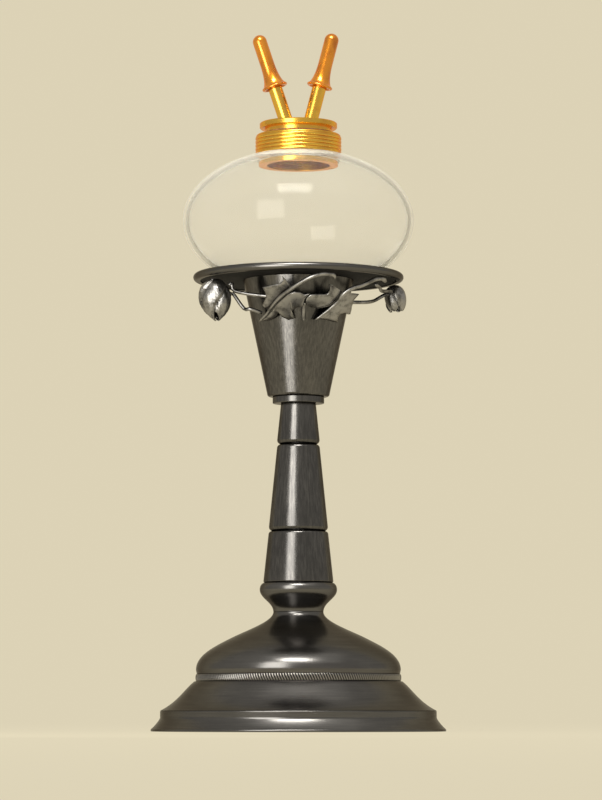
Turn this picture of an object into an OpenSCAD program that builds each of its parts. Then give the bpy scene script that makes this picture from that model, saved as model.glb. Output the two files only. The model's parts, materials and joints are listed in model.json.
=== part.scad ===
// Camphene lamp: two capped wick tubes on a brass screw burner, a flattened
// glass font on a round tray, and a dark metal stand with a wreath under the tray.
// Millimetres, +Z up, origin at the centre of the base's resting face, front is -Y.

/* [Base] */
// Diameter of the foot where it rests
foot_d = 129; // [122:1:140]
// Diameter of the upright ledge above the foot's flare
ledge_d = 120.8; // [114:0.2:121.4]
// Height of the whole foot moulding
foot_h = 9; // [7.5:0.5:12]
// Height of the foot's flared part
flare_h = 5.8; // [3:0.2:7]
// Height of the swept skirt above the foot
skirt_h = 12.8; // [10:0.2:18]
// Diameter of the skirt's top edge
skirt_top_d = 90.8; // [88:0.2:98]
// Height of the rope moulding
rope_h = 3.1; // [2:0.1:4.5]
// Diameter of the rope moulding
rope_d = 90; // [88:0.2:94]
// Diameter of the dome at its widest
dome_d = 89.6; // [86:0.2:96]
// Height of the dome up to its neck
dome_h = 27.2; // [24:0.2:34]
// Diameter of the dome's neck
neck_d = 22; // [19:0.5:26]
// Wall of the base's castings
base_wall = 3; // [2:0.5:4]
// Diameter of the bead on the neck
bead_d = 33.9; // [30:0.1:40]
// Height of the bead from the neck to the stem
bead_h = 12.8; // [10:0.2:18]

/* [Stem] */
// Height of the lower stem section
lower_stem_h = 22.5; // [18:0.5:30]
// Diameter of the lower section at its foot
lower_stem_d = 30.7; // [28:0.1:34]
// Diameter of the lower section at its top
lower_stem_top_d = 26.3; // [24:0.1:28]
// Height of the middle stem section
middle_stem_h = 38.2; // [30:0.2:60]
// Diameter of the middle section at its foot
middle_stem_d = 25.9; // [23:0.1:28]
// Diameter of the middle section at its top
middle_stem_top_d = 18.9; // [17:0.1:22]
// Height of the upper stem section
upper_stem_h = 18; // [14:0.5:30]
// Diameter of the upper section at its foot
upper_stem_d = 18.7; // [17:0.1:21]
// Diameter of the upper section at its top
upper_stem_top_d = 15.4; // [14:0.1:17]
// Diameter of the tie rod through the stem
rod_d = 5.6; // [4:0.2:7]
// Clearance round the tie rod
rod_gap = 0.3; // [0.2:0.05:0.6]
// Width of the rod's nuts across their flats
nut_w = 10; // [9.5:0.5:12]
// Thickness of the rod's nuts
nut_h = 4.5; // [3:0.5:6]
// Diameter of the washers under the nuts
washer_d = 16; // [13:0.5:18]
// Thickness of the washers
washer_t = 1.5; // [1:0.25:2.5]

/* [Socket and tray] */
// Height of the ring under the socket
ring_h = 3; // [2:0.25:5]
// Diameter of the ring under the socket
ring_d = 22.7; // [20:0.1:26]
// Height of the socket up to the tray
socket_h = 51.6; // [48:0.2:60]
// Diameter of the socket at its foot
socket_d = 27; // [25:0.5:31]
// Diameter of the socket under the tray
socket_top_d = 48.8; // [46:0.2:54]
// Wall and floor of the socket
socket_wall = 2.5; // [1.5:0.25:3.5]
// Outer diameter of the tray with its rolled rim
tray_d = 92.8; // [90:0.2:98]
// Thickness of the tray's plate
tray_t = 1.8; // [1.2:0.1:2.6]
// Thickness of the tray's rolled rim
rim_t = 3.2; // [2.8:0.1:4.4]

/* [Font] */
// Diameter of the glass font
font_d = 102; // [98:0.5:108]
// Height of the font's widest line above the tray
font_belly_h = 24.6; // [22:0.2:28]
// Rise of the full lower curve below the widest line
font_low_h = 32.1; // [30:0.1:36]
// Rise of the full upper curve above the widest line
font_high_h = 31.6; // [28:0.1:36]
// Wall of the glass
glass_t = 2.6; // [2:0.1:3.4]
// Diameter of the hole in the font's top
mouth_d = 36.4; // [35.8:0.1:37]
// Diameter of the solid glass peg under the font
peg_d = 22; // [18:0.5:24]
// Length of the peg below the tray's top
peg_l = 24; // [16:0.5:28]

/* [Collar and burner] */
// Diameter of the reeded brass collar
collar_d = 38.1; // [37.6:0.1:40]
// Height of the collar above the glass
collar_h = 9; // [6:0.5:12]
// Number of reeds round the collar
reed_count = 5; // [3:1:7]
// Diameter of the collar's sleeve inside the glass
sleeve_d = 35.2; // [32:0.1:35.4]
// Depth of the sleeve inside the glass
sleeve_h = 4.5; // [3:0.5:8]
// Diameter of the burner's threaded skirt
skirt_d = 27.2; // [25:0.1:27.6]
// Length of the burner's threaded skirt
thread_l = 9; // [6:0.5:12]
// Radial clearance of the burner's thread
thread_gap = 0.35; // [0.3:0.05:0.5]
// Thickness of the leather washer
seal_t = 0.8; // [0.5:0.1:1.5]
// Diameter of the leather washer
seal_d = 31.4; // [30.4:0.2:34]
// Diameter of the burner's neck
burner_neck_d = 29.6; // [28.8:0.1:32]
// Height of the burner's neck above the washer
burner_neck_h = 1.95; // [1:0.05:4]
// Diameter of the burner's flange
flange_d = 34.3; // [32:0.1:38]
// Thickness of the burner's flange
flange_t = 2.55; // [1.5:0.05:4]

/* [Wick tubes and caps] */
// Distance of each tube from the burner's centre at the flange
tube_offset = 5.15; // [4.8:0.05:6.5]
// Lean of the left tube from upright, in degrees
left_lean = 18.2; // [14:0.2:24]
// Lean of the right tube from upright, in degrees
right_lean = 14.4; // [12:0.2:22]
// Diameter of the tubes
tube_d = 6.2; // [5.6:0.1:6.4]
// Diameter of the tubes at their tips
tube_tip_d = 5.1; // [4.9:0.1:5.4]
// Diameter of the bore in the tubes
tube_bore_d = 3.9; // [3.6:0.1:4.1]
// Bare length of each tube between flange and cap
tube_bare_l = 16.5; // [12:0.5:22]
// Length of each tube below the flange's top
tube_root_l = 5; // [4:0.25:5.5]
// Length of each tube inside its cap
tube_in_cap_l = 7.5; // [6.5:0.25:9]
// Diameter of the wicks
wick_d = 3.5; // [2.6:0.1:3.5]
// Length of wick that stands out of the tube's tip
wick_out_l = 2; // [1:0.25:4]
// Length of wick that hangs out of the tube's root
wick_tail_l = 2; // [1:0.25:2.5]
// Length of the caps
cap_l = 24.9; // [22:0.1:28]
// Diameter of the caps' flared mouths
cap_mouth_d = 11.4; // [10.6:0.1:12]
// Diameter of the caps' bodies
cap_d = 6.3; // [6.2:0.1:6.8]
// Wall of the caps
cap_wall = 0.45; // [0.35:0.05:0.5]

/* [Wreath] */
// Depth of the wreath below the tray
wreath_h = 20.2; // [18:0.2:24]
// Thickness of the leaves
leaf_t = 1.2; // [0.8:0.1:1.6]
// Gap between the leaves' feet and the socket
leaf_gap = 0.2; // [0.1:0.05:0.5]
// Gap between the vines and the leaves' edges
vine_gap = 0.7; // [0.6:0.05:0.9]
// Swell of each leaf's face
leaf_swell = 0.8; // [0.2:0.1:1.6]
// Diameter of the vines
vine_d = 1.9; // [1.4:0.1:2.4]
// Diameter of the bud stalks
stalk_d = 1.6; // [1.2:0.1:2]
// Width of the left bud
left_bud_d = 14.6; // [12:0.2:17]
// Length of the left bud
left_bud_l = 18.6; // [15:0.2:22]
// Width of the right bud
right_bud_d = 9.2; // [7:0.2:12]
// Length of the right bud
right_bud_l = 12; // [9:0.2:15]

/* [Hidden] */
$fn = 96;

dark_metal = "#4a4643";
leaf_metal = "#8f8980";
iron = "#5c5b5d";
brass = "#d9a32c";
cap_brass = "#d98a1e";
glass = [0.9, 0.95, 0.92, 0.4];
plaster = "#e8e2d4";
leather = "#8a4b22";
cotton = "#efe6cf";

// Steps along a curved outline
curve_steps = 12;
// Clearance of a soldered or plastered piece from what holds it
seat_gap = 0.05;
// Overshoot of a cut past the faces that it opens
cut = 1;

// Heights of the stand's joints, from the floor up
ledge_z = foot_h;
rope_z = ledge_z + skirt_h;
dome_z = rope_z + rope_h;
neck_z = dome_z + dome_h;
bead_z = neck_z + bead_h;
lower_stem_z = bead_z + lower_stem_h;
middle_stem_z = lower_stem_z + middle_stem_h;
upper_stem_z = middle_stem_z + upper_stem_h;
socket_z = upper_stem_z + ring_h;
tray_z = socket_z + socket_h;
font_z = tray_z + tray_t;
belly_z = font_z + font_belly_h;

// The tie rod runs from under the dome's boss to inside the socket
rod_bore_d = rod_d + 2 * rod_gap;
boss_h = 11;
boss_margin = 1.5;
boss_z = neck_z - boss_h;
boss_d = washer_d + 2 * boss_margin;
rod_end = 1.5;
rod_bottom_z = boss_z - washer_t - nut_h - rod_end;
rod_top_z = socket_z + socket_wall + washer_t + nut_h + rod_end;

// The foot's ring is wider than the castings' wall
foot_ring_w = base_wall + 2;

// The skirt's upright spigot carries the rope band and the dome
rope_t = 1.3;
spigot_d = rope_d - 2 * rope_t;

// The font's lip is ground flat under the collar
lip_z = belly_z + font_high_h * sqrt(1 - pow(collar_d / font_d, 2));
collar_top_z = lip_z + collar_h;
bore_d = skirt_d + 2 * thread_gap;
seal_z = collar_top_z;
burner_z = seal_z + seal_t;
flange_z = burner_z + burner_neck_h;
plate_z = flange_z + flange_t;
peg_bottom_z = font_z - peg_l;
peg_seat_d = peg_d + 2 * seat_gap;

// The wreath lies on a funnel that opens from the socket to the tray's rim
function socket_r(z) = socket_d / 2 + (socket_top_d - socket_d) / 2 * (z - socket_z) / socket_h;
funnel_low_r = socket_r(tray_z - wreath_h) + leaf_gap + leaf_t;
funnel_inset = 2.5;
funnel_high_r = tray_d / 2 - funnel_inset;
function funnel_r(drop) = funnel_high_r + (funnel_low_r - funnel_high_r) * drop / wreath_h;
// Each bud's width, length, number of petals, radius at their tips, and turn
left_bud_form = [left_bud_d, left_bud_l, 3, 1.4, 40];
right_bud_form = [right_bud_d, right_bud_l, 4, 3, 20];
// Where each bud hangs: angle from the front, distance inside the tray's edge,
// drop below the tray, and tilt
left_bud_place = [-63, 4.4, 1.6, -8];
right_bud_place = [100.7, 3.4, 1.2, -6];
// Turn of the wreath's back spray from the front right one
back_turn = 145;

// Points on the wreath: angle from the front, then drop below the tray, for a
// wreath of the depth that these numbers were set out for
drawn_h = 20.2;
left_vine_route = [[-46, 20], [-32, 17.5], [-24, 15], [-17, 12.4], [-11, 10.2], [-5, 8.1],
    [2, 5.4], [8, 3.3], [13, 2.3], [17, 2.1], [20.5, 2.4], [22, 3.6]];
right_vine_route = [[18.5, 19.9], [24, 17.8], [29, 15.3], [33, 12.2], [33.5, 10], [35.5, 8.2],
    [39, 6.7], [44, 5.6], [48, 4.1], [51, 2.8], [55, 2.1], [59, 2.1], [62.5, 2.7]];
left_upper_a = [[-32, 15], [-33, 13.7], [-26, 10.7], [-25, 9.2], [-25.5, 6.9],
    [-19, 6.2], [-12.5, 5.8], [-9.5, 4.6], [-10, 2.8]];
left_upper_b = [[-32, 15], [-26, 14.6], [-20, 12.8], [-15, 11.2], [-10, 9.2],
    [-6.5, 8], [-5.5, 6.7], [-6.8, 5.2], [-10, 2.8]];
left_lower_a = [[-45, 19.8], [-37, 18.5], [-31, 17.2], [-26, 15.7], [-22, 14.3], [-19, 13.2],
    [-16, 12.1], [-12, 10.6], [-8, 9.4], [-3, 8.8], [1, 9.1], [4, 10], [9, 9.4]];
left_lower_b = [[-45, 19.8], [-37, 19.5], [-30, 18.9], [-24.5, 18], [-20.5, 16.5], [-18, 18.7],
    [-12, 19.8], [-4, 19.2], [-7.5, 16.8], [-3, 15], [4, 14.8], [5, 12.1], [9, 9.4]];
middle_a = [[6, 12.6], [6.5, 11.2], [9, 10], [14, 9.7], [19, 9.7],
    [22.5, 9.5], [23.2, 8], [22.5, 6.9], [21, 5.8]];
middle_b = [[6, 12.6], [7.5, 13.9], [13, 14.5], [18, 15.5], [28, 14.4],
    [32, 12.6], [33, 10.2], [33, 8.2], [21, 5.8]];
right_a = [[19, 19.7], [22, 18.6], [25, 17.2], [27, 16.2], [29, 15.2], [31, 13.8],
    [32.5, 12.4], [33, 11.4], [33.5, 10.4], [34, 9.6], [35, 8.8], [37, 8.2], [38, 8.4]];
right_b = [[19, 19.7], [25, 19.3], [38, 19.5], [52, 20], [47, 18.4], [46, 17],
    [53, 16], [62, 16.4], [54, 13.6], [50, 11.2], [50.5, 8.6], [43, 9.1], [38, 8.4]];
// Stalks: angle, distance outside the funnel, drop
left_upper_stalk_route = [[-20, -2.8, 10.4], [-31, -2.3, 9.8], [-43, -1.2, 8.7], [-52, -0.4, 7]];
left_lower_stalk_route = [[-44.5, -3.4, 16.2], [-51, -0.8, 14.6], [-57, 0.2, 14.2]];
right_lower_stalk_route = [[45, -2.7, 12], [51, -2.7, 11.8], [58, -1.6, 11.5], [66, -0.2, 11.2],
    [76, 0.2, 10.4], [86, 0.2, 9]];
right_upper_stalk_route = [[60, -0.7, 4], [68, -0.3, 4.8], [79, -0.3, 5.6]];
// Where each stalk is soldered to its bud: share of the way down the bud's side,
// and direction round the bud
left_upper_seat = [0.36, 20];
left_lower_seat = [0.62, -26];
right_lower_seat = [0.5, 128];
right_upper_seat = [0.42, 108];
solder_gap = 0.5;
leaf_stalk_route = [[6, -2.5, 12.8], [5.5, -3, 15], [5.8, -1.8, 17.6], [6.5, -0.1, 20]];

// Cubic curve through p[0] and p[3], drawn towards p[1] and p[2]
function curve_at(p, t) = pow(1 - t, 3) * p[0] + 3 * t * pow(1 - t, 2) * p[1]
    + 3 * t * t * (1 - t) * p[2] + pow(t, 3) * p[3];
function curve_way(p, t) = 3 * pow(1 - t, 2) * (p[1] - p[0]) + 6 * t * (1 - t) * (p[2] - p[1])
    + 3 * t * t * (p[3] - p[2]);
// The same curve moved sideways by a wall, to the left of its way
function curve(p, wall = 0) = [for (i = [0:curve_steps])
    let (t = i / curve_steps, w = curve_way(p, t))
    curve_at(p, t) + wall * [-w.y, w.x] / norm(w)];
// Curve from a to b, drawn out of each end by a pull
function bow(a, pull_a, pull_b, b, wall = 0) = curve([a, a + pull_a, b + pull_b, b], wall);
// Part of an ellipse about c, from angle a to angle b
function arc(c, rx, rz, a, b) = [for (i = [0:curve_steps])
    let (t = a + (b - a) * i / curve_steps) c + [rx * cos(t), rz * sin(t)]];
function reversed(p) = [for (i = [len(p) - 1:-1:0]) p[i]];

// Smooth curve through all points of a route
function knot(p, i) = p[min(max(i, 0), len(p) - 1)];
function through(p, s) = let (i = min(floor(s), len(p) - 2), t = s - i,
    a = knot(p, i - 1), b = knot(p, i), c = knot(p, i + 1), d = knot(p, i + 2))
    0.5 * (2 * b + (c - a) * t + (2 * a - 5 * b + 4 * c - d) * t * t
    + (3 * b - a - 3 * c + d) * pow(t, 3));

// A point of the wreath, out from the funnel
function wreath_point(angle, drop, out) = let (d = drop * wreath_h / drawn_h, r = funnel_r(d) + out)
    [r * sin(angle), -r * cos(angle), tray_z - d];

// Straight bore through a piece that runs up from z by h
module bore(z, h, d) {
    translate([0, 0, z - cut]) cylinder(h = h + 2 * cut, d = d);
}

// Closed skin over a grid of rows
module skin(rows) {
    n = len(rows[0]);
    m = len(rows);
    points = [for (row = rows) each row];
    sides = [for (i = [0:m - 2], j = [0:n - 1])
        let (a = i * n + j, b = i * n + (j + 1) % n) each [[a, a + n, b], [b, a + n, b + n]]];
    polyhedron(points, concat(sides, [[for (j = [0:n - 1]) j], [for (j = [n - 1:-1:0]) (m - 1) * n + j]]));
}

// Round rod along a path, with a diameter that follows along it
module rod_along(path, thick, sides) {
    m = len(path);
    rows = [for (i = [0:m - 1])
        let (w = path[min(i + 1, m - 1)] - path[max(i - 1, 0)], t = w / norm(w),
            out = [path[i].x, path[i].y, 0] / norm([path[i].x, path[i].y]),
            u = cross(t, out) / norm(cross(t, out)), v = cross(t, u), r = thick[i] / 2)
        [for (j = [0:sides - 1]) path[i] + r * (u * cos(360 * j / sides) + v * sin(360 * j / sides))]];
    skin(rows);
}

// Leaf between two edges, with a swollen face. Its points are cut back by leaf_end
leaf_across = 6;
leaf_per = 2;
leaf_end = 0.06;
module leaf(edge_a, edge_b) {
    m = (len(edge_a) - 1) * leaf_per;
    function station(p, i) = let (k = min(floor(i / leaf_per), len(p) - 2), t = i / leaf_per - k)
        p[k] * (1 - t) + p[k + 1] * t;
    function spot(i, v, out) = let (p = station(edge_a, i) * (1 - v) / 2 + station(edge_b, i) * (1 + v) / 2)
        wreath_point(p[0], p[1], out + leaf_swell * (1 - v * v));
    rows = [for (q = [0:m]) let (i = q == 0 ? leaf_end : q == m ? m - leaf_end : q)
        concat([for (j = [0:leaf_across]) spot(i, 2 * j / leaf_across - 1, 0)],
            [for (j = [leaf_across:-1:0]) spot(i, 2 * j / leaf_across - 1, -leaf_t)])];
    skin(rows);
}

// Vine that thins towards its foot and swells into a knob at its tip, by shares
// of its length and of its diameter
vine_steps = 30;
vine_foot = 0.45;
vine_full_at = 1 / 3;
vine_swell_at = 0.8;
vine_swell = 0.12;
vine_end_at = 0.96;
vine_end = 0.85;
function vine_share(t) = t > vine_end_at ? vine_end
    : vine_foot + (1 - vine_foot) * min(1, t / vine_full_at)
        + vine_swell * max(0, t - vine_swell_at) / (1 - vine_swell_at);
module vine(route) {
    path = [for (i = [0:vine_steps]) let (s = i / vine_steps * (len(route) - 1), p = through(route, s))
        wreath_point(p[0], p[1], vine_d / 2 + vine_gap)];
    rod_along(path, [for (i = [0:vine_steps]) vine_d * vine_share(i / vine_steps)], sides = 12);
}

// Stalk through the points of a route, then on to any end points
stalk_steps = 14;
module stalk(route, end = []) {
    points = concat([for (p = route) wreath_point(p[0], p[2], p[1])], end);
    path = [for (i = [0:stalk_steps]) through(points, i / stalk_steps * (len(points) - 1))];
    rod_along(path, [for (p = path) stalk_d], sides = 8);
}

// Hollow bud that hangs from its top and opens in pointed petals, as one skin:
// down the outside to the petals' edge, up the inside, then in to a level roof.
// Shoulder, belly, notch and roof are shares of the bud's width and length
bud_steps = 10;
bud_inner_steps = 6;
bud_around = 24;
bud_wall = 0.8;
bud_top_r = 0.7;
bud_core_r = 0.3;
bud_shoulder = [0.64, -0.04];
bud_belly = [0.66, -0.72];
bud_notch = [0.9, 0.74];
bud_roof = -0.2;
petal_point = 0.8;
function bud_side(form) = let (wide = form[0], long = form[1], tip_r = form[3])
    [[bud_top_r, 0], [wide * bud_shoulder.x, long * bud_shoulder.y],
    [wide * bud_belly.x, long * bud_belly.y], [tip_r, -long]];
// How far a petal reaches at angle a, between its notch and its whole length or width
function bud_share(form, a, notch) = let (petals = form[2], turn = form[4])
    notch + (1 - notch) * pow(abs(cos(petals * (a - turn) / 2)), petal_point);
function bud_spot(form, t, a, wall) = let (p = curve_at(bud_side(form), t * bud_share(form, a, bud_notch.y)),
    r = max(p.x * bud_share(form, a, bud_notch.x) - wall, bud_core_r))
    [r * cos(a), -r * sin(a), p.y - wall * (1 - t)];
module bud(form) {
    long = form[1];
    angles = [for (j = [0:bud_around - 1]) 360 * j / bud_around];
    outside = [for (i = [0:bud_steps]) [for (a = angles) bud_spot(form, i / bud_steps, a, 0)]];
    inside = [for (i = [bud_steps:-1:bud_steps - bud_inner_steps])
        [for (a = angles) bud_spot(form, i / bud_steps, a, bud_wall)]];
    roof = [for (a = angles) [bud_core_r * cos(a), -bud_core_r * sin(a), bud_roof * long]];
    skin(concat(outside, inside, [roof]));
}

// The frame that a bud hangs in, under the tray and a little inside its edge
function bud_top(place) = let (reach = tray_d / 2 - place[1])
    [reach * sin(place[0]), -reach * cos(place[0]), tray_z - place[2]];
function hung(place, p) = let (tilt = place[3])
    bud_top(place) + [p.x * cos(tilt) + p.z * sin(tilt), p.y, p.z * cos(tilt) - p.x * sin(tilt)];
module hang(place) {
    translate(bud_top(place)) rotate([0, place[3], 0]) children();
}
// The last two points of a stalk, square to the bud's skin at its seat
stalk_lead = 1.6;
function stalk_end(form, place, seat) = let (t = seat[0], a = seat[1], spot = bud_spot(form, t, a, 0),
    w = curve_way(bud_side(form), t * bud_share(form, a, bud_notch.y)),
    out = [-w.y * cos(a), w.y * sin(a), w.x] / norm(w))
    [for (far = [solder_gap + stalk_lead, solder_gap]) hung(place, spot + far * out)];

// Tapered stem section with rounded ends and a bore for the rod
module stem_section(z, h, low_d, top_d, low_round, top_round) {
    low = low_d / 2;
    top = top_d / 2;
    translate([0, 0, z]) difference() {
        rotate_extrude() polygon(concat([[0, 0]],
            arc([low - low_round, low_round], low_round, low_round, -90, 0),
            arc([top - top_round, h - top_round], top_round, top_round, 0, 90), [[0, h]]));
        bore(0, h, rod_bore_d);
    }
}

module foot_rim() {
    foot_r = foot_d / 2;
    ledge_r = ledge_d / 2;
    toe_h = 0.9;
    toe_pull = [-1.2, 0.9];
    ledge_pull = [0.7, -1.5];
    color(dark_metal) rotate_extrude() polygon(concat(
        [[ledge_r - foot_ring_w, 0], [foot_r, 0]],
        bow([foot_r, toe_h], toe_pull, ledge_pull, [ledge_r, flare_h]),
        [[ledge_r, foot_h], [ledge_r - foot_ring_w, foot_h]]));
}

module base_skirt() {
    foot_r = ledge_d / 2;
    spigot_r = spigot_d / 2;
    foot_pull = [-8, 4];
    rope_pull = [4.2, -3.1];
    inner_foot_pull = [-6, 2.6];
    inner_rope_pull = [2.5, -3.6];
    color(dark_metal) rotate_extrude() polygon(concat(
        bow([foot_r, ledge_z], foot_pull, rope_pull, [skirt_top_d / 2, rope_z]),
        [[spigot_r, rope_z], [spigot_r, dome_z], [spigot_r - base_wall, dome_z]],
        reversed(bow([foot_r - foot_ring_w, ledge_z], inner_foot_pull, inner_rope_pull,
            [spigot_r - base_wall, rope_z]))));
}

module rope_band() {
    inner_r = spigot_d / 2 + seat_gap;
    edge = 0.35;
    color(dark_metal) rotate_extrude() polygon(concat([[inner_r, rope_z]],
        arc([rope_d / 2 - edge, dome_z - rope_h / 2], edge, rope_h / 2, -90, 90), [[inner_r, dome_z]]));
}

module base_dome() {
    r = dome_d / 2;
    neck_r = neck_d / 2;
    edge_h = 1.8;
    edge_inset = 0.4;
    swell_pull = [0, 6.3];
    // Where the dome's round shoulder turns into the sweep up to the neck
    bend_share = 0.656;
    bend_drop = 11.4;
    bend = [r * bend_share, neck_z - bend_drop];
    bend_pull = [8, -4];
    neck_pull = [0, -4.1];
    boss_slope = 1.6;
    function shoulder(wall) = bow([r, dome_z + edge_h], swell_pull, bend_pull, bend, wall);
    color(dark_metal) difference() {
        rotate_extrude() polygon(concat([[0, boss_z], [boss_d / 2, boss_z]],
            [[bend.x - base_wall - boss_slope, boss_z - boss_slope]], reversed(shoulder(base_wall)),
            [[r - base_wall, dome_z], [r - edge_inset, dome_z]], shoulder(0),
            bow(bend, -0.9 * bend_pull, neck_pull, [neck_r, neck_z]), [[0, neck_z]]));
        bore(boss_z, neck_z - boss_z, rod_bore_d);
    }
}

module neck_bead() {
    neck = [neck_d / 2, neck_z];
    crest_drop = 3.1;
    crest = [bead_d / 2, bead_z - crest_drop];
    rise = [0, crest.y - neck_z];
    crest_pull = [0, 1.8];
    top_inset = 2;
    top_pull = [1.1, -0.3];
    color(dark_metal) difference() {
        rotate_extrude() polygon(concat([[0, neck_z]],
            bow(neck, rise * 0.43, rise * -0.4, crest),
            bow(crest, crest_pull, top_pull, [crest.x - top_inset, bead_z]), [[0, bead_z]]));
        bore(neck_z, bead_h, rod_bore_d);
    }
}

module lower_stem() {
    color(dark_metal) stem_section(bead_z, lower_stem_h, lower_stem_d, lower_stem_top_d,
        low_round = 0.6, top_round = 1.4);
}

module middle_stem() {
    color(dark_metal) stem_section(lower_stem_z, middle_stem_h, middle_stem_d, middle_stem_top_d,
        low_round = 1.9, top_round = 1.7);
}

module upper_stem() {
    color(dark_metal) stem_section(middle_stem_z, upper_stem_h, upper_stem_d, upper_stem_top_d,
        low_round = 1.9, top_round = 0.3);
}

module socket_ring() {
    color(dark_metal) stem_section(upper_stem_z, ring_h, ring_d, ring_d, low_round = 0.3, top_round = 0.3);
}

module socket_cup() {
    low = socket_d / 2;
    top = socket_top_d / 2;
    bend = 1.2;
    slope = (top - low) / socket_h;
    floor_z = socket_z + socket_wall;
    color(dark_metal) difference() {
        rotate_extrude() polygon(concat([[0, socket_z]],
            arc([low - bend + slope * bend, socket_z + bend], bend, bend, -90, 0),
            [[top, tray_z], [top - socket_wall, tray_z],
            [low + slope * socket_wall - socket_wall, floor_z], [0, floor_z]]));
        bore(socket_z, socket_wall, rod_bore_d);
    }
}

module tie_rod() {
    color(iron) translate([0, 0, rod_bottom_z]) cylinder(h = rod_top_z - rod_bottom_z, d = rod_d);
}

module rod_washer(z) {
    color(iron) translate([0, 0, z]) difference() {
        cylinder(h = washer_t, d = washer_d);
        bore(0, washer_t, rod_bore_d);
    }
}

module rod_nut(z) {
    color(iron) translate([0, 0, z]) difference() {
        cylinder(h = nut_h, d = nut_w / cos(30), $fn = 6);
        bore(0, nut_h, rod_d + 2 * seat_gap);
    }
}

module rod_top_washer() {
    rod_washer(socket_z + socket_wall);
}

module rod_top_nut() {
    rod_nut(socket_z + socket_wall + washer_t);
}

module rod_bottom_washer() {
    rod_washer(boss_z - washer_t);
}

module rod_bottom_nut() {
    rod_nut(boss_z - washer_t - nut_h);
}

module tray_plate() {
    color(dark_metal) translate([0, 0, tray_z]) difference() {
        cylinder(h = tray_t, d = tray_d - 2 * rim_t);
        bore(0, tray_t, peg_seat_d);
    }
}

module tray_rim() {
    r = rim_t / 2;
    inner_r = tray_d / 2 - rim_t + seat_gap;
    reach = tray_d / 2 - r;
    rim_lift = 0.2;
    mid_z = tray_z + tray_t / 2 + rim_lift;
    color(dark_metal) rotate_extrude() polygon(concat([[inner_r, mid_z - r]],
        arc([reach, mid_z], r, r, -90, 90), [[inner_r, mid_z + r]]));
}

module glass_font() {
    r = font_d / 2;
    low_angle = asin(font_belly_h / font_low_h);
    high_angle = asin((lip_z - belly_z) / font_high_h);
    in_r = r - glass_t;
    in_low = font_low_h - glass_t;
    in_high = font_high_h - glass_t;
    floor_extra = 0.4;
    floor_z = font_z + glass_t + floor_extra;
    in_low_angle = asin((belly_z - floor_z) / in_low);
    in_high_angle = acos(mouth_d / 2 / in_r);
    middle = [0, belly_z];
    peg_r = peg_d / 2;
    peg_bevel = 1;
    color(glass) rotate_extrude() polygon(concat(
        [[0, peg_bottom_z], [peg_r - peg_bevel, peg_bottom_z], [peg_r, peg_bottom_z + peg_bevel],
            [peg_r, font_z]],
        arc(middle, r, font_low_h, -low_angle, 0), arc(middle, r, font_high_h, 0, high_angle),
        [[mouth_d / 2, lip_z]],
        reversed(arc(middle, in_r, in_high, 0, in_high_angle)),
        reversed(arc(middle, in_r, in_low, -in_low_angle, 0)), [[0, floor_z]]));
}

module peg_cement() {
    peg_end = 2;
    low_z = peg_bottom_z + peg_end;
    high_z = tray_z - seat_gap;
    in_r = peg_seat_d / 2;
    color(plaster) rotate_extrude() polygon([[in_r, low_z],
        [socket_r(low_z) - socket_wall - seat_gap, low_z],
        [socket_r(high_z) - socket_wall - seat_gap, high_z], [in_r, high_z]]);
}

module collar() {
    r = collar_d / 2;
    groove = 0.4;
    reed_gap = 0.08;
    top_h = 1;
    top_inset = 1.2;
    top_round = 0.9;
    reed_h = (collar_h - top_h) / reed_count;
    reeds = [for (k = [0:reed_count - 1]) let (z = lip_z + k * reed_h)
        each arc([r - groove, z + reed_h / 2], groove, reed_h / 2 - reed_gap, -90, 90)];
    color(brass) rotate_extrude() polygon(concat([[bore_d / 2, lip_z - sleeve_h],
        [sleeve_d / 2, lip_z - sleeve_h], [sleeve_d / 2, lip_z]], reeds,
        arc([r - top_inset, collar_top_z - top_h], top_round, top_h, 0, 90), [[bore_d / 2, collar_top_z]]));
}

module collar_cement() {
    color(plaster) translate([0, 0, lip_z - glass_t]) difference() {
        cylinder(h = glass_t - seat_gap, d = mouth_d - 2 * seat_gap);
        bore(0, glass_t, sleeve_d + 2 * seat_gap);
    }
}

module burner_washer() {
    color(leather) translate([0, 0, seal_z]) difference() {
        cylinder(h = seal_t, d = seal_d);
        bore(0, seal_t, bore_d);
    }
}

// Lays a child along a tube's axis, with its origin on the flange's top
module along_tube(side, lean) {
    translate([side * tube_offset, 0, plate_z]) rotate([0, side * lean, 0]) children();
}

// Slanted hole for a tube, cut well past both faces of the flange
module tube_hole(side, lean) {
    along_tube(side, lean) translate([0, 0, -2 * flange_t])
        cylinder(h = 4 * flange_t, d = tube_d + 2 * seat_gap);
}

module burner_plate() {
    skirt_wall = 1;
    bevel = 0.4;
    r = flange_d / 2;
    neck_r = burner_neck_d / 2;
    skirt_r = skirt_d / 2;
    color(brass) difference() {
        rotate_extrude() polygon([[0, flange_z], [skirt_r - skirt_wall, flange_z],
            [skirt_r - skirt_wall, burner_z - thread_l], [skirt_r, burner_z - thread_l], [skirt_r, burner_z],
            [neck_r, burner_z], [neck_r, flange_z], [r - bevel, flange_z], [r, flange_z + bevel],
            [r, plate_z - bevel], [r - bevel, plate_z], [0, plate_z]]);
        tube_hole(-1, left_lean);
        tube_hole(1, right_lean);
    }
}

// Wick tube that narrows inside its cap
module wick_tube(side, lean) {
    r = tube_d / 2;
    top = tube_bare_l + tube_in_cap_l;
    taper_inset = 1;
    color(brass) along_tube(side, lean) difference() {
        rotate_extrude() polygon([[0, -tube_root_l], [r, -tube_root_l], [r, tube_bare_l + taper_inset],
            [tube_tip_d / 2, top], [0, top]]);
        bore(-tube_root_l, top + tube_root_l, tube_bore_d);
    }
}

module left_wick_tube() {
    wick_tube(-1, left_lean);
}

module right_wick_tube() {
    wick_tube(1, right_lean);
}

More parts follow.
